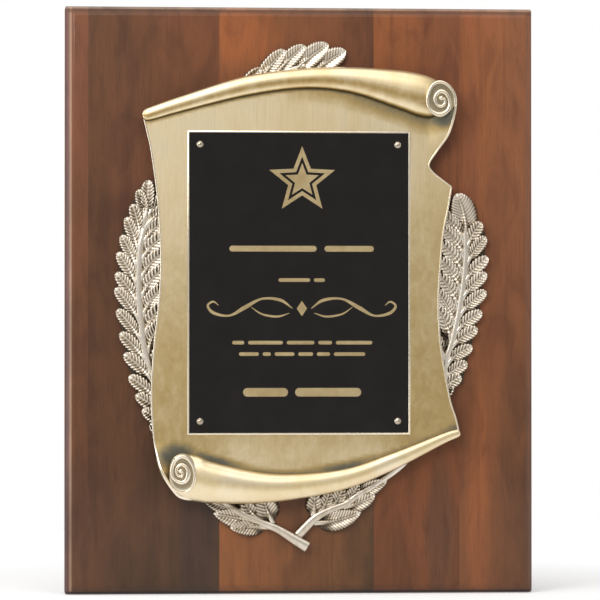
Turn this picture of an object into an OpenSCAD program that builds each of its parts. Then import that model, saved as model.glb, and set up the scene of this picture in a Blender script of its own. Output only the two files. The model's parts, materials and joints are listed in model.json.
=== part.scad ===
// Wall plaque: a board of edge-glued staves that carries a cast scroll, two laurel
// branches and an engraving plate. +X is right, +Z is up and the front faces -Y.
// The origin is the centre of the board's back face.

/* [Board] */
// Width of the board
board_w = 304.8; // [296:0.2:320]
// Height of the board
board_h = 381; // [372:1:400]
// Thickness of the board
board_t = 19; // [18:0.5:22]
// Width of the bevel around the front
bevel = 5; // [2:0.5:6]

/* [Scroll casting] */
// Height of the sheet's face above the board
sheet_h = 8; // [7.5:0.5:9]
// Thickness of the sheet
sheet_t = 2.5; // [2:0.1:2.5]
// Height of the volutes above the board
volute_h = 17; // [14:0.5:18]
// Width of the lip around the engraving plate
lip_w = 1.5; // [1:0.1:2]

/* [Laurel branches] */
// Height of the leaves above the board
leaf_h = 4.6; // [3.6:0.1:4.8]
// Length of a leaf between a stem and the scroll
inner_l = 30; // [26:0.5:31]
// Width of a leaf between a stem and the scroll
inner_w = 10; // [8:0.5:11]
// Width of a stem
stem_w = 3.4; // [3:0.1:4]

/* [Engraving plate] */
// Width of the plate
plate_w = 142; // [138:1:144]
// Height of the plate
plate_h = 194; // [188:1:196]
// Thickness of the plate
plate_t = 0.8; // [0.5:0.1:0.9]

/* [Keyhole] */
// Height of the keyhole's round end above the board's centre
keyhole_z = 140; // [120:1:160]
// Radius of the keyhole's round end
keyhole_r = 5; // [4.5:0.1:6]
// Width of the keyhole's slot at the back face
slot_w = 5; // [4.6:0.1:5.4]
// Length of the slot, from the middle of the round end to the middle of its top
slot_l = 12; // [8:1:16]

/* [Hidden] */
$fn = 64;
eps = 0.5;
STAVES = ["edge_strip", "left_stave", "centre_stave", "right_stave", "outer_stave"];

// Glue joints between the staves, measured from the board's left edge
stave_joints = [0, 15, 100, 200.5, 256.5, board_w];

// Depths below the board's back face, and heights counted the same way
back_of_sheet = board_t + sheet_h - sheet_t;
front_of_sheet = board_t + sheet_h;
lip_top = front_of_sheet + 0.6;
plate_seat = front_of_sheet - 1;
laurel_gap = leaf_h + 0.7;

// Engraving plate, and the pins in its corners
plate_x = -1.2;
plate_z = 11;
plate_gap = 0.15;
pin_x = 64.2;
pin_z = 89.6;
pin_head_r = 2.2;
pin_head_h = 1;
pin_shank_r = 0.8;
pin_shank_l = 5;
pin_boss_r = 3.2;
pin_points = [for (s = [[-1, 1], [1, 1], [-1, -1], [1, -1]])
    [plate_x + s.x * pin_x, plate_z + s.y * pin_z]];

// Screws that hold the scroll from behind the board
scroll_points = [[-60, 72], [60, 72], [-60, -52], [60, -52]];
scroll_shank_r = 2;
scroll_shank_l = 16;
scroll_head_r = 3.8;
scroll_head_h = 2.6;
scroll_seat = 7.5;
scroll_boss_r = 4.6;

// Screws that hold the laurel branches from behind the board
laurel_points = [[-104.6, 12], [-101.4, -30], [108.2, 26], [98.2, -28]];
laurel_shank_r = 1.5;
laurel_shank_l = 12;
laurel_head_r = 2.8;
laurel_head_h = 2;
laurel_seat = 10;
laurel_pad_r = 3.3;

// Keyhole routed in the board's back: a deep round end, and a slot that is wider inside
keyhole_d = 9.5;
slot_lip = 3.6;
undercut_w = 9.4;

// Centre and radius of each volute
top_volute = [90.4, 129.6, 10.8];
low_volute = [-79.6, -111.6, 11.3];

// Each roll: x, lower edge, upper edge and height above the board at a few stations
top_roll = [
    [-102.3, 117.5, 121, 9], [-99, 115.7, 123.6, 9.8], [-77, 121.5, 131.8, 11],
    [-37, 131.4, 144.4, 12.2], [0, 136.6, 149.7, 13], [31, 134.2, 151, 14],
    [61, 124.6, 149.3, 15.4], [80, 118, 146.3, 16], [92, 118.5, 141.6, 16],
    [98, 122, 135.6, 15.6], [100.6, 125, 131, 15]
];
low_roll = [
    [-91, -112, -106, 13], [-86, -119.5, -99.5, 15], [-74, -128.6, -98.2, 16],
    [-57, -131.4, -104.6, 15.4], [-27, -131.5, -111.5, 14], [0, -128.6, -112.5, 13],
    [31, -122, -108.8, 12], [61, -109.9, -98.8, 11], [92, -93.6, -87, 10],
    [102.6, -89, -84.6, 9]
];

// Edges of the sheet, as x and z at points along smooth curves
sheet_top = [[-99, 119.5], [-77, 126.5], [-37, 138], [0, 143], [31, 143], [61, 137], [90, 133]];
sheet_right_high = [[99.6, 124], [99, 116.5], [95, 106.3], [88.8, 97.2], [83.3, 88.2],
    [86, 82.8], [92, 77.9], [98, 73.4]];
sheet_right = [[95.6, 59], [92.4, 43], [90.2, 17], [89.4, -3.6], [90.4, -26], [93, -44],
    [97, -65.2], [100.6, -76.4], [102.8, -86]];
sheet_low = [[92, -90.4], [61, -104.4], [31, -115.4], [0, -120.6], [-27, -121.5], [-57, -118],
    [-82, -113]];
sheet_left = [[-91, -111], [-94.2, -101.7], [-96, -88], [-97, -60], [-95, -32], [-91.4, 3],
    [-90.6, 30], [-92.6, 65], [-96.6, 95], [-100.5, 114]];

// Outline of the hollow behind the sheet
hollow = [[-94, 112], [-88, 70], [-86, 20], [-90, -30], [-92, -60], [-90, -98], [-76, -108],
    [-57, -114], [-27, -117], [0, -116], [31, -111], [61, -99.5], [88, -86], [95, -78], [90, -50],
    [85, -10], [86, 20], [91, 64], [78, 86], [84, 98], [92, 116], [84, 126], [61, 130],
    [31, 137], [0, 138.5], [-37, 133.5], [-77, 122.5]];

// Stems, from the cut end at the bottom to the tip
left_stem = [[4.4, -160], [-3, -155.6], [-10, -151.2], [-16, -147.8], [-22, -145.6], [-28, -143],
    [-40, -137.5], [-52, -128], [-75, -103], [-89, -72], [-94.5, -54], [-98, -42], [-100.6, -33],
    [-102.6, -20], [-104, -6], [-104.9, 8], [-104.6, 25], [-102.8, 40], [-98.4, 54], [-89, 74],
    [-71, 106], [-45, 130], [-15, 146], [3, 152]];
right_stem = [[0, -151], [3.6, -147.2], [8.6, -142.2], [16, -137.6], [24, -134.4], [30, -132.2],
    [37, -127], [50, -119], [70, -103], [85, -75], [91.6, -58], [94, -48], [95.4, -38],
    [98.4, -29], [101.2, -18], [103.4, -8], [105.4, 4], [106.8, 14], [108, 28], [107.8, 44]];

// Leaves on the outer side of each stem: height of the base, x and z of the tip, and width
left_outer = [[46, -98.6, 77.4, 9], [45, -105.2, 71.4, 7.4], [35, -109.2, 62, 7.4],
    [25, -113, 53.4, 7.6], [14, -116.2, 41.6, 7.8], [3, -118.6, 30.6, 8], [-9, -119.6, 17.4, 8],
    [-20, -120, 7.6, 8], [-33, -118.8, -6.4, 8.2], [-46, -117, -21.4, 8.4],
    [-58, -114.4, -35, 8.4], [-70, -111.2, -49.4, 8.4], [-80, -106.8, -61.4, 8],
    [-89, -102.4, -70.8, 8], [-98, -97.4, -80.2, 8]];
right_outer = [[30, 118.2, 50.8, 8.4], [18, 121.2, 41.4, 8], [7, 122.6, 28, 8.2],
    [-4, 121.6, 17.6, 8.2], [-15, 121.4, 5.8, 8.4], [-26, 118.6, -7.6, 8.4],
    [-35, 115.8, -18.4, 8.2], [-46, 112.4, -30.4, 8], [-55, 109, -40.8, 8], [-63, 105, -49.4, 8],
    [-70, 99, -55.4, 7.6]];
outer_lean = 8;

// Heights of the bases of the leaves on the inner side of each stem
left_inner = [44, 32, 20, 8, -4, -16, -28, -40, -52];
right_inner = [34, 23, 12, 1, -10, -21, -32, -43, -54];
inner_lean = 38;
inner_start_lean = 10;

// Larger leaves at the bottom and the tips: base, tip, heading at the base, and width
left_large = [
    [[-38, -137], [-62.6, -129.6], 165, 9], [[-24, -144.4], [-56.4, -138.2], 170, 12],
    [[-21, -147.2], [-45.6, -147.6], 178, 9.4], [[-25, -143.4], [-38, -127], 150, 9],
    [[-17.5, -145], [-25, -124], 120, 13], [[-40, 132], [-25.4, 150.2], 60, 8],
    [[-29, 138], [-10, 162.4], 60, 9.4], [[-19, 142], [3.2, 165.2], 58, 9.6],
    [[-9, 143], [18.2, 166.2], 50, 12], [[1, 142], [29.6, 162.2], 42, 12]
];
right_large = [
    [[37, -128], [56.6, -117.4], 42, 9], [[28, -134.6], [48.8, -126.8], 12, 9.4],
    [[9, -144.6], [39.6, -137.6], 0, 11.4], [[8, -141], [9.4, -123], 80, 8.6],
    [[11.5, -139], [19, -122.5], 45, 8], [[19, -136], [28, -121], 45, 9.4],
    [[28, -132.6], [38, -119], 40, 8], [[107.9, 40], [102, 69.4], 84, 14]
];

// Half width of a leaf's stalk where it leaves the stem and at the leaf's tip
stalk_r = 1.9;
stalk_tip_r = 0.8;
// Share of a leaf's length that is stalk alone
stalk_share = 0.24;

// Catmull-Rom curve through the points, with n steps between one point and the next
function knot(p, i) = p[max(0, min(len(p) - 1, i))];
function blend(a, b, c, d, t) = 0.5 * (2 * b + (c - a) * t + (2 * a - 5 * b + 4 * c - d) * t * t
    + (3 * b - a - 3 * c + d) * t * t * t);
function curve(p, n) = concat([for (i = [0:len(p) - 2], k = [0:n - 1])
    blend(knot(p, i - 1), p[i], p[i + 1], knot(p, i + 2), k / n)], [p[len(p) - 1]]);

// The part of a stem beside the scroll as pairs of height and x, its x at height z, and its heading
function beside(path) = [for (p = path) if (abs(p.x) > 60 && abs(p.y) < 110) [p.y, p.x]];
function stem_x(rows, z) = lookup(z, rows);
function stem_heading(rows, z) = atan2(4, stem_x(rows, z + 2) - stem_x(rows, z - 2));

// Closed band of width w along a path
function unit(v) = v / norm(v);
function side(p, i) = let (v = unit(knot(p, i + 1) - knot(p, i - 1))) [-v.y, v.x];
function band(p, w) = concat([for (i = [0:len(p) - 1]) p[i] + side(p, i) * w / 2],
    [for (i = [len(p) - 1:-1:0]) p[i] - side(p, i) * w / 2]);

// Draws upright on the board: its child's x and y become X and Z, from depth a to depth b
module upright(a, b) {
    rotate([90, 0, 0]) translate([0, 0, a]) linear_extrude(b - a) children();
}

// Round bar or hole along Y at [x, z], from depth a to depth b
module round_at(p, r, a, b) {
    translate([p.x, -a, p.y]) rotate([90, 0, 0]) cylinder(r = r, h = b - a);
}

module board_blank(x0, x1) {
    intersection() {
        translate([x0, 0, 0]) rotate([90, 0, 90]) linear_extrude(x1 - x0)
            polygon([[0, -board_h / 2], [0, board_h / 2], [bevel - board_t, board_h / 2],
                [-board_t, board_h / 2 - bevel], [-board_t, bevel - board_h / 2],
                [bevel - board_t, -board_h / 2]]);
        translate([0, 0, -board_h / 2]) linear_extrude(board_h)
            polygon([[-board_w / 2, 0], [board_w / 2, 0], [board_w / 2, bevel - board_t],
                [board_w / 2 - bevel, -board_t], [bevel - board_w / 2, -board_t],
                [-board_w / 2, bevel - board_t]]);
    }
}

module stave(i) {
    x0 = stave_joints[i] - board_w / 2;
    x1 = stave_joints[i + 1] - board_w / 2;
    difference() {
        board_blank(x0, x1);
        for (p = scroll_points) if (p.x > x0 && p.x < x1)
            screw_way(p, scroll_shank_r + 0.15, scroll_head_r + 0.6, scroll_seat);
        for (p = laurel_points) if (p.x > x0 && p.x < x1)
            screw_way(p, laurel_shank_r + 0.1, laurel_head_r + 0.4, laurel_seat);
        if (x0 < 0 && x1 > 0) keyhole_way();
    }
}

// Through hole with a counterbore from the back
module screw_way(p, shank, head, seat) {
    round_at(p, shank, seat - eps, board_t + eps);
    round_at(p, head, -eps, seat);
}

// Slot of width w that runs up from the keyhole's round end, from depth a to depth b
module slot_way(w, a, b) {
    translate([-w / 2, -b, keyhole_z]) cube([w, b - a, slot_l]);
    round_at([0, keyhole_z + slot_l], w / 2, a, b);
}

module keyhole_way() {
    round_at([0, keyhole_z], keyhole_r, -eps, keyhole_d);
    slot_way(slot_w, -eps, keyhole_d);
    slot_way(undercut_w, slot_lip, keyhole_d);
}

// Cross recess in a head whose outer face is at y = 0, cut d deep
module driver_cross(l, w, d) {
    for (a = [0, 90]) rotate([0, a, 0]) translate([-l / 2, -d, -w / 2]) cube([l, d + eps, w]);
}

// Pan-head screw that bears on the wood at depth seat
module pan_screw(p, head_r, head_h, shank_r, shank_l, seat) {
    color("silver") difference() {
        union() {
            round_at(p, head_r, seat - head_h, seat);
            round_at(p, shank_r, seat, seat + shank_l);
        }
        translate([p.x, head_h - seat, p.y]) driver_cross(head_r * 1.2, 0.7, 1.2);
    }
}

module scroll_screw(i) {
    pan_screw(scroll_points[i], scroll_head_r, scroll_head_h, scroll_shank_r, scroll_shank_l,
        scroll_seat);
}

module laurel_screw(i) {
    pan_screw(laurel_points[i], laurel_head_r, laurel_head_h, laurel_shank_r, laurel_shank_l,
        laurel_seat);
}

module plate_pin(i) {
    cap_r = (pin_head_r * pin_head_r + pin_head_h * pin_head_h) / (2 * pin_head_h);
    seat = plate_seat + plate_t;
    color("lightgray") {
        intersection() {
            translate([pin_points[i].x, cap_r - seat - pin_head_h, pin_points[i].y]) sphere(cap_r);
            round_at(pin_points[i], pin_head_r + 1, seat, seat + 2 * pin_head_h);
        }
        round_at(pin_points[i], pin_shank_r, seat - pin_shank_l, seat);
    }
}

module engraving_plate() {
    color("black") difference() {
        translate([plate_x, 0, plate_z]) upright(plate_seat, plate_seat + plate_t)
            square([plate_w, plate_h], center = true);
        for (p = pin_points) round_at(p, pin_shank_r + 0.05, 0, 2 * front_of_sheet);
    }
}

// Arch-shaped roll lofted through the stations of a table
module roll(stations) {
    s = curve(stations, 3);
    arc = 14;
    base = board_t + laurel_gap;
    rings = [for (q = s) let (mid = (q[1] + q[2]) / 2, h = (q[2] - q[1]) / 2, d = board_t + q[3] - base)
        concat([[q[0], -board_t, mid - h]],
            [for (k = [0:arc]) let (a = 180 * k / arc) [q[0], -base - d * sin(a), mid - h * cos(a)]],
            [[q[0], -board_t, mid + h]])];
    n = arc + 3;
    points = [for (r = rings, p = r) p];
    last = (len(s) - 1) * n;
    polyhedron(points, concat(
        [[for (k = [n - 1:-1:0]) k]], [[for (k = [0:n - 1]) last + k]],
        [for (i = [0:len(s) - 2], k = [0:n - 1]) let (a = i * n, b = a + n, m = (k + 1) % n)
            each [[a + k, b + m, b + k], [a + k, a + m, b + m]]]));
}

module scroll_body() {
    upright(board_t, front_of_sheet) polygon(concat(curve(sheet_top, 3), curve(sheet_right_high, 3),
        curve(sheet_right, 3), curve(sheet_low, 3), curve(sheet_left, 3)));
    translate([plate_x, 0, plate_z]) upright(front_of_sheet - eps, lip_top)
        square([plate_w + 2 * lip_w, plate_h + 2 * lip_w], center = true);
    roll(top_roll);
    roll(low_roll);
    for (v = [top_volute, low_volute]) round_at(v, v[2], board_t, board_t + volute_h);
}

// Ways for the laurel branches under the edges of the scroll
module laurel_ways() {
    for (b = [[-140, -102, -80, 80], [80, -76, 140, 72], [-42, 120, 40, 175], [-72, -160, 68, -98]])
        translate([b[0], -board_t - laurel_gap, b[1]])
            cube([b[2] - b[0], laurel_gap + eps, b[3] - b[1]]);
}

module scroll_casting() {
    color("#c8b27c") difference() {
        union() {
            difference() {
                scroll_body();
                upright(board_t - eps, back_of_sheet) polygon(curve(hollow, 2));
                laurel_ways();
            }
            for (p = scroll_points) round_at(p, scroll_boss_r, board_t, back_of_sheet + eps);
            for (p = pin_points) round_at(p, pin_boss_r, board_t + 1.5, back_of_sheet + eps);
        }
        translate([plate_x, 0, plate_z]) upright(plate_seat, lip_top + eps)
            square([plate_w + 2 * plate_gap, plate_h + 2 * plate_gap], center = true);
        for (p = scroll_points)
            round_at(p, scroll_shank_r, board_t - eps, scroll_seat + scroll_shank_l);
        for (p = pin_points)
            round_at(p, pin_shank_r, plate_seat + plate_t - pin_shank_l, front_of_sheet);
    }
}

// Leaf of width w from p to q whose axis leaves p in direction a
function leaf_half(t, w) = let (u = max(0, (t - stalk_share) / (1 - stalk_share)))
    norm([w / 2 * pow(u, 0.6) * pow(1 - u, 0.4) / 0.51, stalk_r + (stalk_tip_r - stalk_r) * t]);
module leaf(p, q, a, w) {
    n = 9;
    knee = p + 0.45 * norm(q - p) * [cos(a), sin(a)];
    axis = [for (i = [0:n]) let (t = i / n) (1 - t) * (1 - t) * p + 2 * t * (1 - t) * knee + t * t * q];
    upright(board_t, board_t + leaf_h) polygon(concat(
        [for (i = [0:n - 1]) axis[i] + side(axis, i) * leaf_half(i / n, w)], [q],
        [for (i = [n - 1:-1:0]) axis[i] - side(axis, i) * leaf_half(i / n, w)]));
}

// Whole branch, with a round pad under the leaves for each of its screws. inward is 1 where the
// inner leaves turn to the right of the stem and -1 where they turn to the left.
module branch(stem, outer, inner, inward, large, screws) {
    top = board_t + leaf_h;
    path = curve(stem, 2);
    rows = beside(path);
    upright(board_t, top) polygon(band(path, stem_w));
    for (q = outer) leaf([stem_x(rows, q[0]), q[0]], [q[1], q[2]],
        stem_heading(rows, q[0]) + inward * outer_lean, q[3]);
    for (z = inner) {
        a = stem_heading(rows, z) - inward * inner_lean;
        p = [stem_x(rows, z), z];
        leaf(p, p + inner_l * [cos(a), sin(a)], stem_heading(rows, z) - inward * inner_start_lean,
            inner_w);
    }
    for (q = large) leaf(q[0], q[1], q[2], q[3]);
    for (i = screws) round_at(laurel_points[i], laurel_pad_r, board_t, top - 0.8);
}

module laurel(stem, outer, inner, inward, large, screws) {
    color("#b4aa96") difference() {
        branch(stem, outer, inner, inward, large, screws);
        for (i = screws)
            round_at(laurel_points[i], laurel_shank_r, board_t - eps, laurel_seat + laurel_shank_l);
    }
}

color("#7a5040") stave(0);  // edge_strip
color("#6e4c3a") stave(1);  // left_stave
color("#8c5a3c") stave(2);  // centre_stave
color("#85563c") stave(3);  // right_stave
color("#905e42") stave(4);  // outer_stave
scroll_casting();
laurel(left_stem, left_outer, left_inner, 1, left_large, [0, 1]);  // laurel_left
laurel(right_stem, right_outer, right_inner, -1, right_large, [2, 3]);  // laurel_right
engraving_plate();
for (i = [0:3]) {
    plate_pin(i);
    scroll_screw(i);
    laurel_screw(i);
}
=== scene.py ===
"""Looks of the wall plaque: lacquered walnut staves, a cast scroll, two laurel branches and an
engraving plate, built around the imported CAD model. Lengths in the tables are millimetres."""

import json
import math
import random

import bmesh
import bpy
import numpy as np
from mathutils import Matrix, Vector
from mathutils.geometry import delaunay_2d_cdt


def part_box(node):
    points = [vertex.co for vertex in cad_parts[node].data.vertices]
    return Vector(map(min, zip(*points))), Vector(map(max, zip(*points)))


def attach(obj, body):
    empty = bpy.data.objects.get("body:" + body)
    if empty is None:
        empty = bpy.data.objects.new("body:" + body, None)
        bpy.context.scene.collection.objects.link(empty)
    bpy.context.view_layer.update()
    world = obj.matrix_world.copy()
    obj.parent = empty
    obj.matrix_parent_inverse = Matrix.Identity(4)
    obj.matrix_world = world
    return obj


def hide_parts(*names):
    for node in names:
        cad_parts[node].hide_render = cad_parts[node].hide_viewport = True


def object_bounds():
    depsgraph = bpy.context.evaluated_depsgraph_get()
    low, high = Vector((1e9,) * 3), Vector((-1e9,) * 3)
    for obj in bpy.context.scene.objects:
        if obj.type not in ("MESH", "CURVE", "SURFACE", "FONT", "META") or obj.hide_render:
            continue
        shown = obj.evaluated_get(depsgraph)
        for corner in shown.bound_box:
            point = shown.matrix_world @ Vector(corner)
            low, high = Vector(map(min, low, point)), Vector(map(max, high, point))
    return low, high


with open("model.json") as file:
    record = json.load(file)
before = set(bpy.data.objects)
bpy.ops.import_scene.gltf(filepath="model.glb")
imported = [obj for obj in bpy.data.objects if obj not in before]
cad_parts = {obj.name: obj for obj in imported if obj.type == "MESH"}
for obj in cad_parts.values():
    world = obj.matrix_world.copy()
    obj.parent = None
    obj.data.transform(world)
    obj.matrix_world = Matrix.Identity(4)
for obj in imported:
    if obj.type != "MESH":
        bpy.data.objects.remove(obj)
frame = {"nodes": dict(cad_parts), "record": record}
cad_low, cad_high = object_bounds()
nodes = frame["nodes"]
MM = 0.001


def box_mm(node):
    """Lowest and highest corner of a CAD node, in millimetres."""
    low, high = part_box(node)
    return np.array(low) / MM, np.array(high) / MM


def frame_slot(node):
    """The record's material slot of a CAD node."""
    return next(s["material_slot"] for s in frame["record"]["subparts"] if s["node"] == node)


# ---- places taken from the frame
STAVES = ["edge_strip", "left_stave", "centre_stave", "right_stave", "outer_stave"]
BOARD_FRONT = box_mm("centre_stave")[0][1]
BOARD_RIGHT = box_mm("outer_stave")[1][0]
BOARD_TOP = box_mm("edge_strip")[1][2]
PLATE_LOW, PLATE_HIGH = box_mm("engraving_plate")
PLATE_CENTRE = (PLATE_LOW + PLATE_HIGH) / 2
PLATE_HALF = (PLATE_HIGH - PLATE_LOW)[[0, 2]] / 2
PLATE_FRONT, PLATE_BACK = PLATE_LOW[1], PLATE_HIGH[1]
CORNERS = [(-1, -1), (1, -1), (1, 1), (-1, 1)]
# Sheet: height over the board, thickness, dish, and how far its corners curl forward
SHEET_H, SHEET_T, SHEET_DISH = 8.0, 2.5, 0.5
CURL_TOP, CURL_LOW = 7.2, 6.6
SHEET_FRONT = BOARD_FRONT - SHEET_H
SHEET_BACK = SHEET_FRONT + SHEET_T
WALL_FOOT = BOARD_FRONT - 0.05
LIP_W, LIP_H = 1.5, 0.6
LIP_FRONT = SHEET_FRONT - LIP_H
VOLUTE_FACE = BOARD_FRONT - 16.1
VOLUTE_RIDGE = BOARD_FRONT - 16.3

# ---- outlines, x and z in mm
TOP_LINE = [(-99, 119.5), (-77, 126.5), (-37, 138), (0, 143), (31, 143), (61, 137), (90, 133)]
LOW_LINE = [(92, -90.4), (61, -104.4), (31, -115.4), (0, -120.6), (-27, -121.5), (-57, -118),
            (-80, -118)]
RIGHT_LOWER = [(102.8, -86), (100.6, -76.4), (97, -65.2), (93, -44), (90.4, -26), (89.4, -3.6),
               (90.2, 17), (92.4, 43), (95.6, 59), (98, 73.4)]
RIGHT_UPPER = [(98, 73.4), (92, 77.9), (86, 82.8), (83.3, 88.2), (88.8, 97.2), (95, 106.3),
               (98, 115.2), (99.5, 122.3)]
LEFT_EDGE = [(-101.5, 116.5), (-99.6, 109), (-96.6, 95), (-92.6, 65), (-90.6, 30), (-91.4, 3),
             (-95, -32), (-96.6, -60), (-95.4, -86), (-93.5, -98), (-91.5, -106.3), (-89.2, -112.5),
             (-86.4, -117.4), (-83, -121.8), (-79.4, -125.6), (-75.5, -127.4),
             (-71, -127.8), (-66, -127)]

# Rolls: x, lower edge, upper edge and depth of the front, at a few stations
TOP_ROLL = [(-102.6, 118.6, 120.4, 27.8), (-101.4, 116.4, 122.6, 28.6), (-97, 115.9, 124.6, 29.6),
            (-77, 121.5, 131.8, 30.6), (-37, 131.4, 144.4, 31.8), (0, 136.6, 149.7, 32.6),
            (31, 134.2, 151, 33.4), (61, 124.6, 149.3, 34.4), (74, 119.8, 147.6, 34.8),
            (82, 118, 145.6, 34), (88, 119, 143, 32), (94, 121.4, 138.8, 30),
            (97, 124.5, 134.8, 28.4)]
LOW_ROLL = [(-89, -114.6, -113, 28), (-87, -117.8, -113.4, 29), (-84.6, -121.4, -112, 30.6),
            (-81.6, -125, -106, 32.4), (-78, -127.4, -102, 33.6), (-74, -129.2, -99.8, 34),
            (-66, -130.6, -101, 34.8), (-57, -131.4, -104.6, 34.8), (-27, -131.5, -111.5, 33.6),
            (0, -128.6, -112.5, 32.4), (31, -122, -108.8, 31.2), (61, -109.9, -98.8, 30.2),
            (92, -93.8, -86.8, 29.2), (101.5, -89.4, -84.2, 28.6), (103.6, -88, -85.6, 27.8)]

# Spiral ridges: x, z and half width, from the outer end to the middle
TOP_SPIRAL = [(98.6, 117.8, 0.8), (99.5, 122.3, 0.85), (99.8, 126.7, 0.9), (99.5, 131.1, 0.9),
              (98.3, 134.7, 0.95), (94.5, 139.2, 1.0), (89.4, 141, 1.1), (84.6, 138.8, 1.0),
              (81.8, 132.6, 0.85), (81.6, 127.6, 0.85), (83.9, 122.5, 1.0), (89.4, 119.9, 1.45),
              (94.4, 122.5, 1.25), (96, 127.8, 1.05), (94.2, 133, 1.25), (90.4, 135, 1.35),
              (87.3, 133, 1.2), (86.4, 129.6, 1.05), (87.8, 126.3, 0.95), (90.6, 125.3, 0.95),
              (92.9, 127.2, 0.9), (92.5, 130, 0.85), (90.4, 130.6, 0.8)]
LOW_SPIRAL = [(-75, -124, 0.45), (-71.6, -121.4, 0.75), (-69.5, -117, 0.9), (-69.2, -112.4, 0.95),
              (-70.6, -106.8, 1.0), (-73.4, -102.8, 1.1), (-77, -101.1, 1.2), (-80.4, -102.3, 1.15),
              (-83, -105.9, 1.05), (-83.9, -110, 1.05), (-83.4, -113.8, 1.05), (-81, -116.5, 1.05),
              (-77.8, -117.7, 1.2), (-74.6, -116.2, 1.4), (-73.2, -112.2, 1.45),
              (-74.4, -108.2, 1.2), (-77.4, -106.2, 1.05), (-80.2, -107.6, 0.95),
              (-81, -110.6, 0.9), (-79.9, -113.2, 0.9), (-77.6, -113.6, 0.85), (-76.9, -111.6, 0.8),
              (-78.2, -110.4, 0.8)]
# Ends of the rolls: centre, and the radius to the right, top, left and bottom
TOP_DISC = {"centre": (90.3, 129.8), "radii": [9.6, 12.2, 9.2, 10.4]}
LOW_DISC = {"centre": (-77, -110.6), "radii": [8.2, 11.6, 8.4, 13]}

# Laurel stems, as x, z and the height of the middle of the stem over the board
LEFT_STEM = [(4.4, -160, 4.8), (-3, -155.6, 4.8), (-10, -151.2, 4.2), (-16, -147.8, 3.6),
             (-22, -145.6, 3.3), (-28, -143, 3), (-40, -137.5, 2.6), (-52, -128, 2.6),
             (-75, -103, 2.6), (-89, -72, 2.6), (-94.5, -54, 2.6), (-98, -42, 2.8),
             (-100.6, -33, 3), (-102.6, -20, 3), (-104, -6, 3), (-104.9, 8, 3), (-104.6, 25, 3),
             (-102.8, 40, 2.9), (-98.4, 54, 1.6), (-89, 74, 1.4), (-71, 106, 2.6), (-45, 130, 2.6),
             (-15, 146, 2.6), (3, 152, 2.6)]
RIGHT_STEM = [(-1.5, -152.5, 2.6), (3.6, -147.2, 2.8), (8.6, -142.2, 3), (16, -137.6, 3),
              (24, -134.4, 3), (30, -132.2, 3), (37, -127, 2.8), (50, -119, 2.6), (70, -103, 2.6),
              (85, -75, 2.6), (91.6, -58, 2.6), (94, -48, 2.6), (95.4, -38, 2.8), (98.4, -29, 3),
              (101.2, -18, 3), (103.4, -8, 3), (105.4, 4, 3), (106.8, 14, 3), (108, 28, 3),
              (107.8, 44, 2.8)]
# Outer side leaves: height of the base on the stem, the tip's x and z, and the width
LEFT_OUTER = [(46, -98.6, 77.4, 9), (45, -105.2, 71.4, 7.4), (35, -109.2, 62, 7.4),
              (25, -113, 53.4, 7.6), (14, -116.2, 41.6, 7.8), (3, -118.6, 30.6, 8),
              (-9, -119.6, 17.4, 8), (-20, -120, 7.6, 8), (-33, -118.8, -6.4, 8.2),
              (-46, -117, -21.4, 8.4), (-58, -114.4, -35, 8.4), (-70, -111.2, -49.4, 8.4),
              (-80, -106.8, -61.4, 8), (-89, -102.4, -70.8, 8), (-98, -97.4, -80.2, 8)]
RIGHT_OUTER = [(30, 118.2, 50.8, 8.4), (18, 121.2, 41.4, 8), (7, 122.6, 28, 8.2),
               (-4, 121.6, 17.6, 8.2), (-15, 121.4, 5.8, 8.4), (-26, 118.6, -7.6, 8.4),
               (-35, 115.8, -18.4, 8.2), (-46, 112.4, -30.4, 8), (-55, 109, -40.8, 8),
               (-63, 105, -49.4, 8), (-70, 99, -55.4, 7.6)]
# Inner side leaves: height of the base on the stem
LEFT_INNER = [44, 32, 20, 8, -4, -16, -28, -40, -52]
RIGHT_INNER = [34, 23, 12, 1, -10, -21, -32, -43, -54]
# Large leaves: base, tip, heading at the base in degrees, and width
LEFT_LARGE = [((-38, -137), (-62.6, -129.6), 165, 9), ((-24, -144.4), (-56.4, -138.2), 170, 12),
              ((-21, -147.2), (-45.6, -147.6), 178, 9.4), ((-25, -143.4), (-38, -127), 150, 9),
              ((-17.5, -145), (-25, -124), 120, 13),
              ((-40, 132), (-25.4, 150.2), 60, 8), ((-29, 138), (-10, 162.4), 60, 9.4),
              ((-19, 142), (3.2, 165.2), 58, 9.6), ((-9, 143), (18.2, 166.2), 50, 12),
              ((1, 142), (29.6, 162.2), 42, 12)]
RIGHT_LARGE = [((37, -128), (56.6, -117.4), 42, 9), ((28, -134.6), (48.8, -126.8), 12, 9.4),
               ((9, -144.6), (39.6, -137.6), 0, 11.4), ((8, -141), (9.4, -123), 80, 8.6),
               ((11.5, -139), (19, -122.5), 45, 8), ((19, -136), (28, -121), 45, 9.4),
               ((28, -132.6), (38, -119), 40, 8), ((107.9, 40), (102, 69.4), 84, 14)]


# ---- curves and meshes
def smooth(points, n=8):
    """Catmull-Rom curve through the points, n steps between one and the next."""
    p = np.array(points, float)
    ends = np.vstack([2 * p[0] - p[1], p, 2 * p[-1] - p[-2]])
    out = []
    for a, b, c, d in zip(ends, ends[1:], ends[2:], ends[3:]):
        for t in np.arange(n) / n:
            out.append(0.5 * (2 * b + (c - a) * t + (2 * a - 5 * b + 4 * c - d) * t ** 2
                              + (3 * b - a - 3 * c + d) * t ** 3))
    return np.array(out + [p[-1]])


def spaced(path, step):
    """The same path with points about step apart."""
    lengths = np.concatenate([[0], np.cumsum(np.linalg.norm(np.diff(path, axis=0), axis=1))])
    n = max(2, int(round(lengths[-1] / step)) + 1)
    s = np.linspace(0, lengths[-1], n)
    return np.column_stack([np.interp(s, lengths, path[:, k]) for k in range(path.shape[1])])


def directions(path):
    """Unit vector along the path at each of its points."""
    ahead = np.gradient(path, axis=0)
    return ahead / np.linalg.norm(ahead, axis=1)[:, None]


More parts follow.
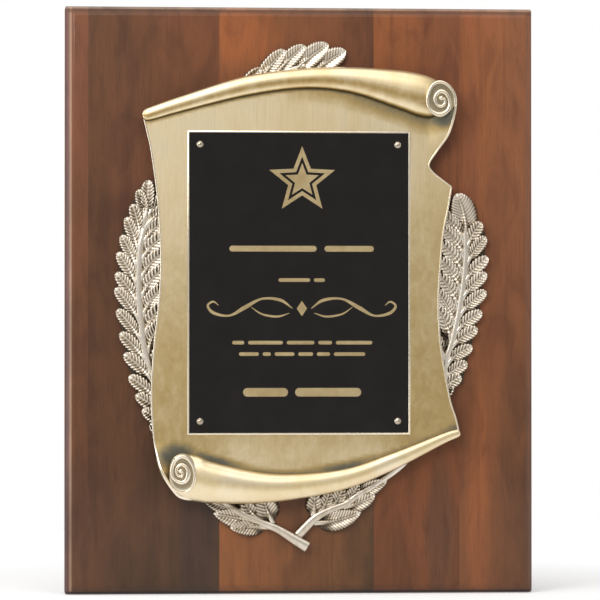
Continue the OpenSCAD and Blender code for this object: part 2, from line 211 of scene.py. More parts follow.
def beside(path):
    """Unit vector to the left of a flat path at each of its points."""
    ahead = directions(path)
    return np.column_stack([-ahead[:, 1], ahead[:, 0]])


def turns(count):
    """Angles all the way round in equal steps."""
    return np.linspace(0, 2 * math.pi, count, endpoint=False)


def ramp(value, low, high):
    """Smooth step from 0 at low to 1 at high."""
    t = np.clip((np.asarray(value, float) - low) / (high - low), 0, 1)
    return t * t * (3 - 2 * t)


def add_object(name, data):
    """A new object in the scene."""
    obj = bpy.data.objects.new(name, data)
    bpy.context.scene.collection.objects.link(obj)
    return obj


def shade(mesh, material, sharp):
    """Material and smooth shading for a mesh. Edges above the angle sharp stay crisp."""
    mesh.materials.clear()
    mesh.materials.append(material)
    mesh.polygons.foreach_set("use_smooth", [True] * len(mesh.polygons))
    mesh.set_sharp_from_angle(angle=math.radians(sharp))


def piece(name, points, faces, material, slot, replaces=(), patina=None, sharp=40):
    """A mesh piece in millimetres that rides on the root body. patina is one value per point; it
    holds real patina and painted shade and highlights.
    """
    mesh = bpy.data.meshes.new(name)
    mesh.from_pydata((np.asarray(points, float) * MM).tolist(), [], faces)
    mesh.update()
    if patina is not None:
        layer = mesh.attributes.new("patina", "FLOAT", "POINT")
        layer.data.foreach_set("value", np.asarray(patina, np.float32))
    shade(mesh, material, sharp)
    obj = add_object(name, mesh)
    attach(obj, "root")
    if replaces:
        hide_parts(*replaces)


def loft(n, m):
    """Faces that join n closed rings of m points and cap both ends."""
    faces = [(i * m + k, i * m + (k + 1) % m, (i + 1) * m + (k + 1) % m, (i + 1) * m + k)
             for i in range(n - 1) for k in range(m)]
    faces.append(tuple(range(m - 1, -1, -1)))
    faces.append(tuple((n - 1) * m + k for k in range(m)))
    return faces


def upright(x, depth, z):
    """Points at one depth or at one depth each."""
    return np.column_stack([x, np.broadcast_to(depth, len(x)), z])


def ring(x, z, radius, depth, angles):
    """Points round a centre at one depth."""
    return upright(x + radius * np.cos(angles), depth, z + radius * np.sin(angles))


def tube(path, radii, sides, flat):
    """Rings of a tube along a path. flat squeezes its depth."""
    ahead = directions(path)
    across = np.cross(ahead, [0, 1, 0])
    across /= np.linalg.norm(across, axis=1)[:, None]
    out = np.cross(across, ahead)
    a = turns(sides)
    return (path[:, None] + radii[:, None, None] * (np.cos(a)[:, None] * across[:, None]
            + flat * np.sin(a)[:, None] * out[:, None]))


def wall(path, half, back, front):
    """Rings of an upright wall along an x-z path, from one depth to another."""
    side = beside(path) * half
    corners = [(path + side, back), (path + side, front), (path - side, front), (path - side, back)]
    return np.stack([upright(p[:, 0], y, p[:, 1]) for p, y in corners], axis=1)


class Parts:
    """Collects the points, faces and values of patina and painted light of a piece made of many
    closed solids.
    """

    def __init__(self):
        self.points, self.faces, self.patina, self.count = [], [], [], 0

    def add(self, points, faces, patina=0.0):
        """Adds a solid. patina is one value or one per point."""
        self.points.append(np.asarray(points, float))
        self.faces += [tuple(self.count + i for i in face) for face in faces]
        self.patina.append(np.broadcast_to(patina, len(points)))
        self.count += len(points)

    def add_rings(self, rings, patina=0.0):
        """Adds a solid lofted through rings of equal size."""
        rings = np.asarray(rings)
        self.add(rings.reshape(-1, 3), loft(*rings.shape[:2]), patina)

    def finish(self, name, material, slot, replaces, sharp=40):
        """Makes the piece."""
        piece(name, np.vstack(self.points), self.faces, material, slot, replaces,
              np.concatenate(self.patina), sharp)


# ---- materials
def linear(r, g, b):
    """A colour as seen, 0 to 255, as the shader's linear values."""
    out = [c / 12.92 if c <= 0.04045 else ((c + 0.055) / 1.055) ** 2.4
           for c in (r / 255, g / 255, b / 255)]
    return (*out, 1)


class Nodes:
    """A material and short calls for its nodes."""

    def __init__(self, name, **sockets):
        self.material = bpy.data.materials.new(name)
        self.material.use_nodes = True
        self.tree = self.material.node_tree
        self.shader = self.tree.nodes["Principled BSDF"]
        self.place = self.new("TexCoord").outputs["Object"]
        for key, value in sockets.items():
            self.shader.inputs[key.replace("_", " ")].default_value = value

    def new(self, kind, inputs=None, **settings):
        """A new shader node with its settings and inputs."""
        made = self.tree.nodes.new("ShaderNode" + kind)
        for key, value in settings.items():
            setattr(made, key, value)
        for key, value in (inputs or {}).items():
            self.put(made.inputs[key], value)
        return made

    def put(self, socket, value):
        """Links a socket to a node's output, or sets it to a value."""
        if isinstance(value, bpy.types.NodeSocket):
            self.tree.links.new(value, socket)
        else:
            socket.default_value = value

    def set(self, socket, value):
        """Links or sets a socket of the shader."""
        self.put(self.shader.inputs[socket], value)

    def axes(self):
        """The place in object coordinates, as one output for each axis."""
        return self.new("SeparateXYZ", {0: self.place}).outputs

    def noise(self, stretch, detail=3.0, rough=0.5, seed=0.0, warp=0.0):
        """Noise whose cells are about 1/stretch metres across on each axis, from 0 to 1."""
        start = (seed, seed * 1.7, seed * 0.6)
        place = self.new("Mapping", {"Scale": stretch, "Location": start, "Vector": self.place})
        noise = self.new("TexNoise", {"Scale": 1, "Detail": detail, "Roughness": rough,
                                      "Distortion": warp, "Vector": place.outputs[0]})
        return noise.outputs["Fac"]

    def scale(self, value, low, high, to_low=0.0, to_high=1.0):
        """Value mapped from low..high to to_low..to_high, and held at the ends."""
        node = self.new("MapRange", {"From Min": low, "From Max": high, "To Min": to_low,
                                     "To Max": to_high, "Value": value})
        return node.outputs["Result"]

    def math(self, kind, a, b):
        """Arithmetic on two values."""
        return self.new("Math", {0: a, 1: b}, operation=kind).outputs[0]

    def mix(self, factor, a, b, kind="MIX"):
        """Colour a blended towards colour b."""
        node = self.new("Mix", {"Factor": factor, "A": a, "B": b}, data_type="RGBA",
                        blend_type=kind)
        return node.outputs["Result"]

    def bump(self, height, depth_mm, strength):
        """Fine relief from a height value."""
        node = self.new("Bump", {"Strength": strength, "Distance": depth_mm * MM,
                                 "Height": height})
        self.set("Normal", node.outputs[0])


def walnut(name, low, high, seed, corners, bands, patches):
    """Lacquered walnut between two corners. patches are soft spots: x, z, reach across and up,
    colour and share."""
    m = Nodes(name, Specular_IOR_Level=0.2, Coat_Weight=0.3, Coat_Roughness=0.14, Coat_IOR=1.45)
    at = m.axes()
    sway = m.noise((14, 14, 6), 3, seed=seed)
    across = m.scale(at["X"], low[0] * MM, high[0] * MM)
    across = m.math("ADD", across, m.scale(sway, 0.3, 0.7, -0.16, 0.16))
    up = m.scale(at["Z"], low[2] * MM, high[2] * MM)
    top_left, top_right, low_left, low_right = [linear(*c) for c in corners]
    colour = m.mix(up, m.mix(across, low_left, low_right), m.mix(across, top_left, top_right))
    wander = m.noise((40, 40, 12), 3, 0.55, seed + 31)
    for x, z, wide, tall, tint, share in patches:
        dx = m.math("MULTIPLY", m.math("SUBTRACT", at["X"], x * MM), 1 / (wide * MM))
        dz = m.math("MULTIPLY", m.math("SUBTRACT", at["Z"], z * MM), 1 / (tall * MM))
        far = m.math("ADD", m.math("MULTIPLY", dx, dx), m.math("MULTIPLY", dz, dz))
        far = m.math("ADD", far, m.scale(wander, 0.3, 0.7, -0.5, 0.5))
        colour = m.mix(m.scale(far, 1.3, 0.4, 0, share), colour, linear(*tint))
    broad = m.noise((48, 48, 4), 4, 0.5, seed + 3, warp=0.9)
    streak = m.noise((260, 260, 7), 4, 0.55, seed + 7, warp=0.5)
    in_front = m.scale(at["Y"], -BEVEL_BACK * MM, -(BEVEL_BACK + 1.2) * MM)
    # Painted highlights, reflections and shade in strips along the bevels
    for axis, sign, reach, start, end, tint, share in BEVEL_PAINTED_LIGHT:
        inset = m.math("MULTIPLY", at[axis], -sign)
        inset = m.math("ADD", inset, reach * MM)
        fade = STRIP_FADE * MM
        strip = m.math("MULTIPLY", m.scale(inset, start * MM - fade, start * MM + fade),
                       m.scale(inset, end * MM + fade, end * MM - fade, 0, share))
        colour = m.mix(m.math("MULTIPLY", strip, in_front), colour, linear(*tint))
    fine = m.noise((1300, 1300, 30), 3, 0.65, seed + 11)
    pores = m.noise((2400, 2400, 110), 2, 0.5, seed + 17)
    ripple = m.noise((58, 58, 22), 3, 0.55, seed + 23, warp=1.0)
    dark = m.mix(1.0, colour, (0.55, 0.5, 0.5, 1), "MULTIPLY")
    bright = m.mix(1.0, colour, (1.3, 1.24, 1.16, 1), "MULTIPLY")
    for noise, start, full, share, tint in (
            (broad, 0.5, 0.74, bands, dark), (broad, 0.5, 0.32, 0.85, bright),
            (streak, 0.52, 0.7, 0.42, dark), (ripple, 0.46, 0.64, 0.68, bright),
            (ripple, 0.46, 0.3, 0.46, dark), (fine, 0.4, 0.68, 0.2, dark),
            (pores, 0.6, 0.7, 0.45, dark)):
        colour = m.mix(m.scale(noise, start, full, 0, share), colour, tint)
    m.set("Base Color", colour)
    m.set("Roughness", m.scale(fine, 0.3, 0.7, 0.4, 0.52))
    m.bump(m.math("ADD", m.math("MULTIPLY", fine, 0.5), m.math("MULTIPLY", pores, -0.5)), 0.04, 0.4)
    return m.material


def cast_metal(name, bright, mid, warm, dark, rough, brush, coat=0.0):
    """Plated casting: brushed, mottled, warm where its value of patina and painted light is medium,
    dark where high. That value holds real patina in hollows and painted shade and highlights.
    """
    bright, mid, warm, dark = [linear(*tone) for tone in (bright, mid, warm, dark)]
    m = Nodes(name, Metallic=1.0, Coat_Weight=coat, Coat_Roughness=0.16)
    mottle = m.noise((35, 35, 22), 4, 0.6, 2, warp=0.6)
    grit = m.noise((900, 900, 900), 2, 0.6, 5)
    lines = m.noise((1900, 1900, 40), 3, 0.6, 9)
    strokes = m.noise((160, 160, 110), 4, 0.6, 14, warp=0.8)
    colour = m.mix(m.scale(mottle, 0.35, 0.68), bright, mid)
    colour = m.mix(m.scale(lines, 0.35, 0.7, 0, 0.3 * brush), colour, m.mix(0.5, colour, dark))
    # Per point value of real patina in hollows and painted shade and highlights
    patina = m.new("Attribute", attribute_name="patina").outputs["Fac"]
    edge = m.math("ADD", patina, m.scale(mottle, 0.3, 0.7, -0.06, 0.06))
    edge = m.math("ADD", edge, m.scale(strokes, 0.3, 0.7, -0.08, 0.08))
    warmth = m.math("MULTIPLY", m.scale(edge, 0.0, 0.45), m.scale(patina, 0.0, 0.2))
    colour = m.mix(warmth, colour, warm)
    colour = m.mix(m.scale(edge, 0.45, 0.95, 0, 0.96), colour, dark)
    m.set("Base Color", colour)
    m.set("Roughness", m.math("ADD", m.scale(mottle, 0.3, 0.7, rough - 0.04, rough + 0.06),
                              m.scale(patina, 0, 1, 0, 0.2)))
    m.bump(m.math("ADD", m.math("MULTIPLY", lines, 0.7 * brush), m.math("MULTIPLY", grit, 0.3)),
           0.06, 0.6)
    return m.material


def plain_metal(name, colour, worn, rough, scratch=(1400, 1400, 60)):
    """Bright turned or rolled metal with fine scratches and a worn tint."""
    m = Nodes(name, Metallic=1.0)
    lines = m.noise(scratch, 3, 0.6, 4)
    cloud = m.noise((120, 120, 120), 3, 0.5, 8)
    m.set("Base Color", m.mix(m.scale(cloud, 0.35, 0.7), linear(*colour), linear(*worn)))
    m.set("Roughness", m.scale(lines, 0.3, 0.7, rough - 0.05, rough + 0.1))
    m.bump(lines, 0.02, 0.4)
    return m.material


def black_coat():
    """Gloss black enamel with a faint orange peel and fine dust-like wear."""
    m = Nodes("black_enamel", Specular_IOR_Level=0.42)
    cloud = m.noise((60, 60, 60), 3, 0.5, 1)
    peel = m.noise((700, 700, 700), 2, 0.5, 6)
    m.set("Base Color", m.mix(cloud, linear(9, 6, 4), linear(16, 11, 8)))
    m.set("Roughness", m.scale(cloud, 0.3, 0.7, 0.16, 0.24))
    m.bump(peel, 0.01, 0.3)
    return m.material


gold = cast_metal("antique_gold", (230, 213, 177), (214, 194, 154), (174, 151, 103),
                  (100, 100, 90), 0.44, 0.9)
gold_roll = cast_metal("antique_gold_roll", (238, 223, 192), (228, 209, 166), (206, 180, 124),
                       (122, 112, 80), 0.36, 0.2, 0.3)
# The top roll's own copy of the roll metal, with darker warm and dark tones that show as its
# painted shade
gold_top_shaded = cast_metal("antique_gold_top_roll_shade", (244, 228, 194), (230, 208, 162), (176, 148, 94),
                      (84, 74, 48), 0.4, 0.3)
gold_edge = cast_metal("polished_gold_edge", (240, 229, 208), (230, 216, 190), (190, 175, 142),
                       (112, 104, 88), 0.24, 0.1, 0.3)
pewter = cast_metal("antique_pewter", (242, 234, 220), (228, 217, 201), (172, 158, 136),
                    (72, 62, 50), 0.3, 0.1, 0.2)
enamel = black_coat()
brass = plain_metal("engraved_brass", (198, 178, 136), (182, 160, 118), 0.42, (60, 900, 1400))
nickel = plain_metal("nickel_pin", (200, 190, 174), (168, 154, 134), 0.24)
zinc = plain_metal("zinc_screw", (205, 208, 212), (180, 184, 190), 0.3)

# ---- board
# Colours at top left, top right, bottom left and bottom right, strength of the streaks, patches
WALNUT = {
    "edge_strip": ([(112, 68, 44), (108, 66, 43), (83, 54, 34), (80, 51, 31)], 0.3, []),
    "left_stave": ([(87, 56, 35), (108, 64, 37), (79, 50, 30), (61, 43, 26)], 0.5, [
        (-64, -150, 14, 60, (60, 42, 32), 0.85), (-110, 100, 18, 60, (96, 58, 38), 0.5)]),
    "centre_stave": ([(122, 73, 41), (99, 59, 35), (124, 76, 42), (79, 54, 29)], 0.45, [
        (-36, 172, 22, 26, (160, 90, 46), 0.42)]),
    "right_stave": ([(130, 76, 40), (115, 68, 42), (99, 57, 30), (98, 57, 30)], 0.5, [
        (84, 120, 16, 30, (98, 56, 36), 0.6), (92, -150, 10, 44, (84, 54, 36), 0.7)]),
    "outer_stave": ([(130, 77, 45), (129, 83, 56), (106, 65, 37), (95, 58, 33)], 0.6, [
        (116, -130, 8, 70, (140, 81, 46), 0.45), (142, -120, 12, 80, (94, 60, 38), 0.7),
        (112, 90, 6, 50, (112, 66, 44), 0.5)]),
}
# Painted light on the bevels, highlights and reflections on the left, right and top and a painted
# dark line at the bottom:
# axis, side of the board, its reach, start and end of the strip in mm from the edge, tone, share
BEVEL_BACK = 13
STRIP_FADE = 0.4
EDGE_ROUND = 1.5
BEVEL_PAINTED_LIGHT = [
    ("X", -1, BOARD_RIGHT, 2.9, 4.4, (180, 150, 124), 0.38),
    ("X", -1, BOARD_RIGHT, 0, 2.5, (84, 58, 60), 0.7),
    ("X", 1, BOARD_RIGHT, 1.4, 2.8, (150, 112, 104), 0.12),
    ("Z", 1, BOARD_TOP, 0, 1.7, (182, 170, 156), 0.45),
    ("Z", 1, BOARD_TOP, 2, 4.4, (84, 62, 50), 0.6),
    ("Z", -1, BOARD_TOP, 0, 1.8, (24, 20, 18), 0.85),
]


def board_stave(index, node):
    """The CAD stave with the board's outer edges rounded."""
    bm = bmesh.new()
    bm.from_mesh(nodes[node].data)
    bmesh.ops.remove_doubles(bm, verts=bm.verts, dist=1e-5)
    bmesh.ops.dissolve_limit(bm, angle_limit=math.radians(1), verts=bm.verts, edges=bm.edges)
    low, high = box_mm(node)
    margin, near, crease = 8, 0.01, 0.3
    seams = [x for x in (low[0], high[0]) if abs(abs(x) - BOARD_RIGHT) > 0.1]

    def outer(edge):
        """Whether an edge is a crease of the board's outline, and not a hole or a glue joint."""
        a, b = [v.co / MM for v in edge.verts]
        mid = (a + b) / 2
        hole = abs(mid.x) < BOARD_RIGHT - margin and abs(mid.z) < BOARD_TOP - margin
        in_seam = any(abs(a.x - x) < near and abs(b.x - x) < near for x in seams)
        return not hole and not in_seam and edge.calc_face_angle(0) > crease

    edges = [e for e in bm.edges if outer(e)]
    bmesh.ops.bevel(bm, geom=edges, offset=EDGE_ROUND * MM, segments=6, profile=0.5,
                    affect="EDGES")
    points = [tuple(v.co / MM) for v in bm.verts]
    bm.verts.index_update()
    faces = [tuple(v.index for v in f.verts) for f in bm.faces]
    bm.free()
    finish = walnut("walnut_" + node, low, high, 10.0 * index + 3, *WALNUT[node])
    piece(node + "_wood", points, faces, finish, frame_slot(node), [node], sharp=28)


for index, node in enumerate(STAVES):
    board_stave(index, node)

# ---- scroll sheet
# Slot name passed with the scroll's pieces, and the node that they replace
SCROLL = ("antique_gold", ["scroll_casting"])
right_edge = np.vstack([smooth(RIGHT_LOWER), smooth(RIGHT_UPPER)[1:]])
left_edge = smooth(LEFT_EDGE)
outline = np.vstack([smooth(TOP_LINE), right_edge[::-1], smooth(LOW_LINE), left_edge[::-1]])


def lift(x, z):
    """How far the sheet's corner curls forward near each volute."""
    high = CURL_TOP * ramp(z, 92, 121) * ramp(x, 82, 98)
    low = CURL_LOW * ramp(-z, 90, 117) * ramp(-x, 80, 91)
    return high + low


def sheet_depth(x, z):
    """Front face of the sheet: nearly flat, very slightly dished along its height."""
    bow = np.cos(np.asarray(z) / 95 * math.pi / 2)
    return SHEET_FRONT - lift(x, z) - SHEET_DISH * bow


def roll_edge(stations, column):
    """One edge of a roll as a function of x."""
    s = smooth(stations, 6)
    return lambda x: np.interp(x, s[:, 0], s[:, column])


def sheet_patina(x, z):
    """Painted shadow under the top roll and above the low roll, painted shade round the top volute,
    real patina beside the low volute, darker below the plate's lower right corner, and painted
    shading that warms and darkens the sheet towards the lower right, away from the light."""
    below_top = roll_edge(TOP_ROLL, 1)(x) - z
    above_low = z - roll_edge(LOW_ROLL, 2)(x)
    # Painted shadow under the top roll, and painted shade spreading under its right half
    shadow_under_top = np.maximum(0.9 * ramp(below_top, 3.2, -1),
                           0.72 * ramp(below_top, 16, 0) * ramp(x, -40, 60))
    wave = 0.55 + 0.45 * np.cos((x - 28) / 13)
    # Painted shadow along the top of the low roll
    shadow_over_low = np.maximum(0.75 * ramp(above_low, 5, 0), 0.95 * wave * ramp(above_low, 7.5, 1.5))
    corner = 0.5 * ramp(np.hypot(x - 76, (z + 92) / 0.6), 20, 2)
    volute_low = ramp(np.hypot((x + 80) / 1.5, z + 101), 16, 3)
    # Painted shade round the top volute
    shade_by_top_volute = 0.9 * ramp(np.hypot(x - 92, z - 121), 14, 6)
    # Painted shading: the sheet warms and darkens towards the lower right, away from the light,
    # less so low in the middle
    centre_low = ramp(-z, 74, 100) * ramp(70 - np.abs(x), 0, 30)
    shade_to_lower_right = 0.41 * ramp(0.22 * x - z, -140, 80) * (1 - 0.6 * centre_low)
    return np.maximum.reduce([shadow_under_top, shadow_over_low, volute_low, shade_by_top_volute, corner, shade_to_lower_right])


def within(points, polygon):
    """Which points lie inside a closed polygon."""
    x, z = points[:, 0], points[:, 1]
    hit = np.zeros(len(points), bool)
    for (x0, z0), (x1, z1) in zip(polygon, np.roll(polygon, -1, axis=0)):
        if z0 != z1:
            hit ^= ((z0 > z) != (z1 > z)) & (x < (x1 - x0) * (z - z0) / (z1 - z0) + x0)
    return hit


def scroll_sheet():
    """Closed sheet with a rectangular window for the plate."""
    rim = spaced(np.vstack([outline, outline[:1]]), 1.2)[:-1]
    half, centre = PLATE_HALF + 0.4, PLATE_CENTRE[[0, 2]]
    window = spaced(np.array([centre + half * s for s in CORNERS + CORNERS[:1]]), 4)[:-1]
    step = 2.2
    row_step = step * 0.866
    grid = np.array([(x + (row % 2) * step / 2, z)
                     for row, z in enumerate(np.arange(-126, 146, row_step))
                     for x in np.arange(-106, 108, step)])
    grid = grid[within(grid, rim)]
    grid = grid[~np.all(np.abs(grid - centre) < half + 0.8, axis=1)]
    far = np.array([np.min(np.hypot(*(rim - p).T)) for p in grid])
    grid = grid[far > 0.9]
    flat = np.vstack([rim, window, grid])
    loop = [(i, (i + 1) % len(rim)) for i in range(len(rim))]
    n = len(rim)
    loop += [(n + i, n + (i + 1) % len(window)) for i in range(len(window))]
    points, _, faces, *_ = delaunay_2d_cdt([Vector(p) for p in flat], loop, [], 0, 1e-5)
    points = np.array([tuple(p) for p in points])
    middles = np.array([points[list(f)].mean(axis=0) for f in faces])
    keep = within(middles, rim) & ~np.all(np.abs(middles - centre) < half, axis=1)
    faces = [tuple(f) for f, k in zip(faces, keep) if k]
    used = sorted({i for f in faces for i in f})
    renumber = {old: new for new, old in enumerate(used)}
    faces = [tuple(renumber[i] for i in f) for f in faces]
    points = points[used]
    x, z = points.T
    front = upright(x, sheet_depth(x, z), z)
    back = upright(x, SHEET_BACK, z)
    edges = {edge: True for f in faces for edge in zip(f, f[1:] + f[:1])}
    open_edges = [(a, b) for a, b in edges if (b, a) not in edges]
    n = len(points)
    shell = faces + [tuple(n + i for i in reversed(f)) for f in faces]
    shell += [(b, a, n + a, n + b) for a, b in open_edges]
    patina = np.concatenate([sheet_patina(x, z), np.ones(n)])
    piece("scroll_sheet", np.vstack([front, back]), shell, gold, *SCROLL, patina, sharp=50)


scroll_sheet()


# ---- rolls
def scroll_roll(name, stations, crease, skew, band_shade, band, metal):
    """Tube with a round front and a shallow back, lofted through the stations. skew moves the
    foremost line up or down as a share of the half height. A band of painted shade runs along the
    front of the roll, and painted shade darkens its underside where it meets the sheet."""
    s = smooth(stations, 10)
    sides, behind = 48, 3.2
    a = turns(sides)
    axis = -SHEET_FRONT + 0.4
    rings, patina = [], []
    for x, low, high, front in s:
        mid, half = (low + high) / 2, (high - low) / 2
        deep = np.where(np.sin(a) > 0, max(front - axis, 0.6), behind)
        rings.append(np.column_stack([np.full(sides, x), -axis - deep * np.sin(a),
                                      mid + half * (np.cos(a) + skew * np.sin(a) ** 2)]))
        # Painted shade: a band along the front of the roll, and along its underside by the sheet
        middle = band_shade * np.exp(-((np.cos(a) - band) / 0.3) ** 2) * (np.sin(a) > 0)
        patina.append(np.maximum(middle, crease * ramp(-np.cos(a), 0.8, 0.97)))
    piece(name, np.vstack(rings), loft(len(s), sides), metal, *SCROLL, np.concatenate(patina),
          sharp=60)


# After the stations: painted shade at the crease, skew, strength and place of the painted shade
# band, metal
scroll_roll("top_roll", TOP_ROLL, 1.0, 0.12, 0.42, -0.35, gold_top_shaded)
scroll_roll("low_roll", LOW_ROLL, 0.15, 0.05, 0.22, -0.05, gold_roll)


# ---- volutes and edge beads
BEAD_R = 0.62
BEAD_SINK = 0.1
RIDGE_GROWTH = 1.18


def volute_disc(name, disc):
    """End face of a roll: a slightly dished disc behind the spiral."""
    n = 72
    a = turns(n)
    radii = disc["radii"]
    closed = smooth(list(enumerate(radii[-1:] + radii + radii[:2], -1)), 24)
    radius = np.interp(a / (math.pi / 2), closed[:, 0], closed[:, 1])
    cx, cz = disc["centre"]
    # Share of the radius, depth and patina of each ring
    profile = [(0.9, SHEET_FRONT + 1, 0.4), (1.0, SHEET_FRONT - 2, 0.3),
               (1.0, VOLUTE_FACE + 1, 0.2), (0.97, VOLUTE_FACE + 0.2, 0.1),
               (0.9, VOLUTE_FACE, 0.3), (0.78, VOLUTE_FACE + 0.3, 0.66),
               (0.5, VOLUTE_FACE + 0.2, 0.72), (0.2, VOLUTE_FACE, 0.66), (0.02, VOLUTE_FACE, 0.5)]
    rings = [ring(cx, cz, share * radius, y, a) for share, y, dark in profile]
    patina = np.repeat([dark for share, y, dark in profile], n)
    piece(name, np.vstack(rings), loft(len(rings), n), gold_edge, *SCROLL, patina, sharp=50)


def rope(line, depth, radius):
    """Rings of a bead along an x-z line, with a rounded end."""
    radius = np.array(radius, float)
    radius[-3:] *= [0.9, 0.7, 0.3]
    return tube(upright(line[:, 0], depth, line[:, 1]), radius, 16, 0.9)


def joined_bead(edge, curl):
    """Rings of the right bead, which runs on into the spiral. The bead stops short of its edge's
    end, and a smooth bridge takes it to the spiral."""
    run = spaced(edge, 0.8)[:-5]
    bead_cut, curl_cut = 12, 17
    bridge = smooth(np.vstack([run[-bead_cut::4], curl[4:curl_cut - 1:4, :2]]), 10)
    line = spaced(np.vstack([run[:-bead_cut], bridge, curl[curl_cut:, :2]]), 0.6)
    start = int(np.argmin(np.hypot(*(line - curl[curl_cut, :2]).T)))
    lifted = ramp(np.arange(len(line)), start - 16, start + 6)
    flat = sheet_depth(line[:, 0], line[:, 1]) + BEAD_SINK
    near_roll = ramp(line[:, 1], 84, 116) * (line[:, 0] > 70)
    tail = np.linspace(0, 1, len(line) - start)
    shares = np.linspace(0, 1, len(curl) - curl_cut)
    radius = np.concatenate([BEAD_R + 0.2 * near_roll[:start],
                             np.interp(tail, shares, curl[curl_cut:, 2])])
    return rope(line, flat * (1 - lifted) + VOLUTE_RIDGE * lifted, radius)


def plain_bead(edge):
    """Rings of the left bead, which grows as it passes under the volute."""
    line = spaced(edge, 0.7)
    low = ramp(-line[:, 1], 92, 114)
    under = ramp(-line[:, 1], 110, 128)
    depth = sheet_depth(line[:, 0], line[:, 1]) + BEAD_SINK - 1.6 * under
    return rope(line, depth, BEAD_R + 0.4 * low + 0.9 * under)


def volute_spiral(name, spiral, edge, joined):
    """Polished bead along a free edge of the sheet, and the spiral ridge on the roll's end."""
    curl = spaced(smooth(spiral, 12) * [1, 1, RIDGE_GROWTH], 0.5)
    made = Parts()
    if joined:
        made.add_rings(joined_bead(edge, curl))
    else:
        made.add_rings(plain_bead(edge))
        made.add_rings(rope(curl[:, :2], VOLUTE_RIDGE, curl[:, 2]))
    x, z, _ = spiral[-1]
    # The button in the middle: radius and height of each ring
    made.add_rings([ring(x, z, r, VOLUTE_FACE - h, turns(24))
                    for r, h in ((1.7, 0), (1.6, 0.7), (1.25, 1.3), (0.7, 1.65), (0.1, 1.75))])
    made.finish(name, gold_edge, *SCROLL, sharp=60)


volute_disc("top_volute_face", TOP_DISC)
volute_disc("low_volute_face", LOW_DISC)
volute_spiral("right_bead_and_spiral", TOP_SPIRAL, right_edge, True)
volute_spiral("left_bead_and_spiral", LOW_SPIRAL, left_edge, False)


# ---- rim behind the sheet
def rim_walls():
    """Walls from the sheet and the rolls back to the board, open where the laurel passes."""
    made = Parts()
    top, low = smooth(TOP_LINE), smooth(LOW_LINE)
    stretches = [
        right_edge[right_edge[:, 1] > 73], right_edge[right_edge[:, 1] < -76],
        left_edge[left_edge[:, 1] > 81], left_edge[left_edge[:, 1] < -102],
        top[top[:, 0] < -43], top[top[:, 0] > 41], low[low[:, 0] > 69], low[low[:, 0] < -73]]
    half, inset = 1.2, 1.4
    for line in stretches:
        line = spaced(line, 1.5)
        upward = np.ptp(line[:, 1]) > np.ptp(line[:, 0])
        line = line - [inset * np.sign(line[:, 0].mean()) * upward, 0]
        made.add_rings(wall(line, half, WALL_FOOT, SHEET_BACK - 0.6), 0.7)
    made.finish("scroll_rim", gold, *SCROLL)


rim_walls()


# ---- lip around the plate
def plate_lip():
    """Rounded frame with mitred corners around the engraving plate."""
    grow = [0.15, 0.15, 0.4, LIP_W / 2, LIP_W - 0.3, LIP_W, LIP_W]
    depth = [PLATE_BACK, LIP_FRONT + 0.4, LIP_FRONT + 0.08, LIP_FRONT, LIP_FRONT + 0.12,
             LIP_FRONT + 0.5, PLATE_BACK]
    points = [(PLATE_CENTRE[0] + sx * (PLATE_HALF[0] + g), y,
               PLATE_CENTRE[2] + sz * (PLATE_HALF[1] + g))
              for sx, sz in CORNERS for g, y in zip(grow, depth)]
    m = len(grow)
    faces = []
    for i in range(4):
        here, after = i * m, (i + 1) % 4 * m
        faces += [(here + k, here + (k + 1) % m, after + (k + 1) % m, after + k) for k in range(m)]
    piece("plate_lip", points, faces, gold_edge, *SCROLL, np.zeros(len(points)), sharp=50)


plate_lip()


# ---- laurel
# Leaves: heights over the board at the root, of the stalk, the midrib and the ribs, the drop at the
# edge, and how far the ribs slant
ROOT_H, STALK_H, MIDRIB_H, RIB_H = 0.8, 2.5, 0.25, 0.36
EDGE_DROP = 1.1
RIB_SLANT = 0.7
# Inner leaves: length, width, and the angle to the stem at the tip and at the base
INNER_L, INNER_W, INNER_LEAN, INNER_START = 30, 11, 38, 10
STEM_SIDES, STEM_FLAT = 20, 0.55
# Web beside the scroll: half width, height, and how far it lies inward of the stem
WEB_HALF, WEB_H, WEB_SHIFT = 18, 0.9, 5
# Pads for the screws: radius, and heights of the foot and the top
PAD_R, PAD_H = 3.2, (0.1, 2.4)


def leaf_axis(base, tip, heading):
    """Curve from base to tip that sets out at a heading in degrees: its share of the way, points,
    unit vectors beside it, and the straight length."""
    base, tip = np.array(base, float), np.array(tip, float)
    length = np.linalg.norm(tip - base)
    a = math.radians(heading)
    knee = base + 0.45 * length * np.array([math.cos(a), math.sin(a)])
    s = np.linspace(0, 1, max(40, int(length * 4.2)))
    t = s[:, None]
    axis = (1 - t) ** 2 * base + 2 * t * (1 - t) * knee + t ** 2 * tip
    return s, axis, beside(axis), length


